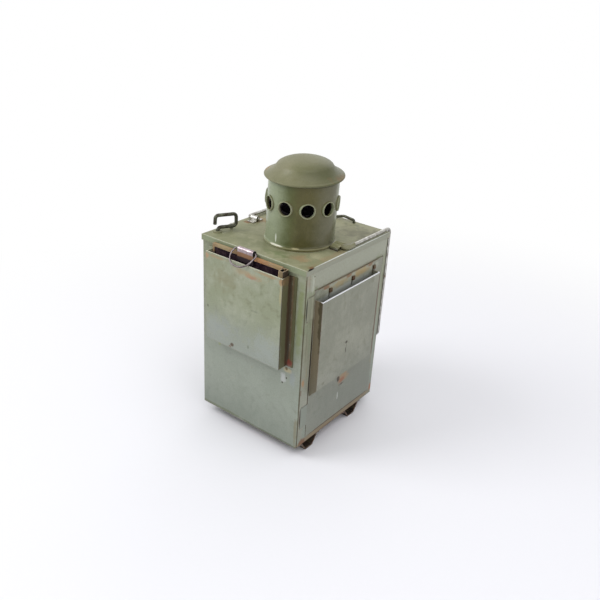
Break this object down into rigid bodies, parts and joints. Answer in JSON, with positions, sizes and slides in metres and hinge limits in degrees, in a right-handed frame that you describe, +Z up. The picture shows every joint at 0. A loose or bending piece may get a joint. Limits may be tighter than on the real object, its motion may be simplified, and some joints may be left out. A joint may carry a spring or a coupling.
{
  "type": "signal lantern",
  "caption": "Sheet-steel signal lantern with a vented chimney, hinged side door, slide pockets, lens, turning colour screen and a folding carrying bail.",
  "frame": {"origin": "middle of the lantern's overall footprint, at the underside of the skids", "axes": "+Z up, +X toward the door, -Y toward the large slide pocket"},
  "size_m": [0.15, 0.1672, 0.2951],
  "materials": {
    "case_paint": "worn grey-green paint, rusty at the edges",
    "roof_paint": "worn olive-brown paint, scratched and rusty at the edges",
    "chimney_paint": "glossy olive paint",
    "bare_steel": "bare worn steel, dull",
    "dark_wire": "darkened steel wire with rests of paint",
    "tinned_steel": "dull tinned sheet",
    "burner_brass": "dull brass",
    "dark_glass": "very dark purple glass",
    "red_glass": "red glass",
    "clear_glass": "clear pressed glass",
    "wick_cotton": "woven cotton"
  },
  "bodies": {
    "case": {"body_shell": "case_paint", "floor_plate": "case_paint", "skid_front": "case_paint", "skid_back": "case_paint", "front_pocket": "case_paint", "pocket_guide_left": "case_paint", "pocket_guide_right": "case_paint", "lens_slide_holder": "case_paint", "bail_clip_right": "case_paint", "roof_plate": "roof_paint", "chimney_tube": "chimney_paint", "chimney_cap": "chimney_paint", "cap_collar": "chimney_paint", "chimney_rivet": "chimney_paint", "bail_clip_left": "bare_steel", "hinge_pin_lower": "bare_steel", "hinge_pin_upper": "bare_steel", "key_washer": "bare_steel", "key_stop": "bare_steel", "back_loop": "dark_wire", "inner_flue": "tinned_steel", "screen_bracket": "tinned_steel", "lens_retainer": "tinned_steel", "fuel_tank": "tinned_steel", "tank_rail_front": "tinned_steel", "tank_rail_back": "tinned_steel", "reflector": "tinned_steel", "reflector_stay": "tinned_steel", "lens_bezel": "burner_brass", "burner_collar": "burner_brass", "burner_body": "burner_brass", "burner_cap": "burner_brass", "lens": "clear_glass"},
    "slide": {"slide_frame": "roof_paint", "slide_glass": "dark_glass", "slide_tab": "bare_steel"},
    "ring": {"pull_ring": "bare_steel"},
    "door": {"door_panel": "case_paint", "door_liner": "tinned_steel", "door_pocket": "case_paint", "door_catch": "bare_steel"},
    "carrying_bail": {"bail": "bare_steel", "bail_sleeve": "case_paint"},
    "colour_screen": {"turn_key": "dark_wire", "screen_frame": "tinned_steel", "screen_glass": "red_glass"},
    "wick_wheel": {"wick_spindle": "burner_brass", "wick_knob": "burner_brass"},
    "wick_strip": {"wick": "wick_cotton"},
    "tank_filler": {"filler_cap": "burner_brass"}
  },
  "joints": [
    {"name": "slide_lift", "type": "slide", "parent": "case", "child": "slide", "axis": [0, 0, 1], "range_m": [0, 0.085]},
    {"name": "ring_swing", "type": "hinge", "parent": "slide", "child": "ring", "pos_m": [-0.0035, -0.06919, 0.2123], "axis": [-1, 0, 0], "range_deg": [0, 190]},
    {"name": "door_swing", "type": "hinge", "parent": "case", "child": "door", "pos_m": [0.0637, -0.05949, 0.1087], "axis": [0, 0, -1], "range_deg": [0, 95]},
    {"name": "bail_swing", "type": "hinge", "parent": "case", "child": "carrying_bail", "pos_m": [-0.0005, 0.00091, 0.2147], "axis": [1, 0, 0], "range_deg": [0, 148]},
    {"name": "key_turn", "type": "hinge", "parent": "case", "child": "colour_screen", "pos_m": [-0.0589, -0.05119, 0.2117], "axis": [0, 0, -1], "range_deg": [0, 88]},
    {"name": "wick_turn", "type": "hinge", "parent": "case", "child": "wick_wheel", "pos_m": [0.0167, -0.00709, 0.0637], "axis": [0, 1, 0], "range_deg": [0, 80]},
    {"name": "wick_raise", "type": "slide", "parent": "case", "child": "wick_strip", "axis": [0, 0, 1], "range_m": [0, 0.0056]},
    {"name": "filler_turn", "type": "hinge", "parent": "case", "child": "tank_filler", "pos_m": [-0.0125, 0.00991, 0.0429], "axis": [0, 0, 1], "continuous": true}
  ],
  "couplings": [
    {"joint": "wick_raise", "follows": "wick_turn", "m_per_rad": 0.004}
  ]
}
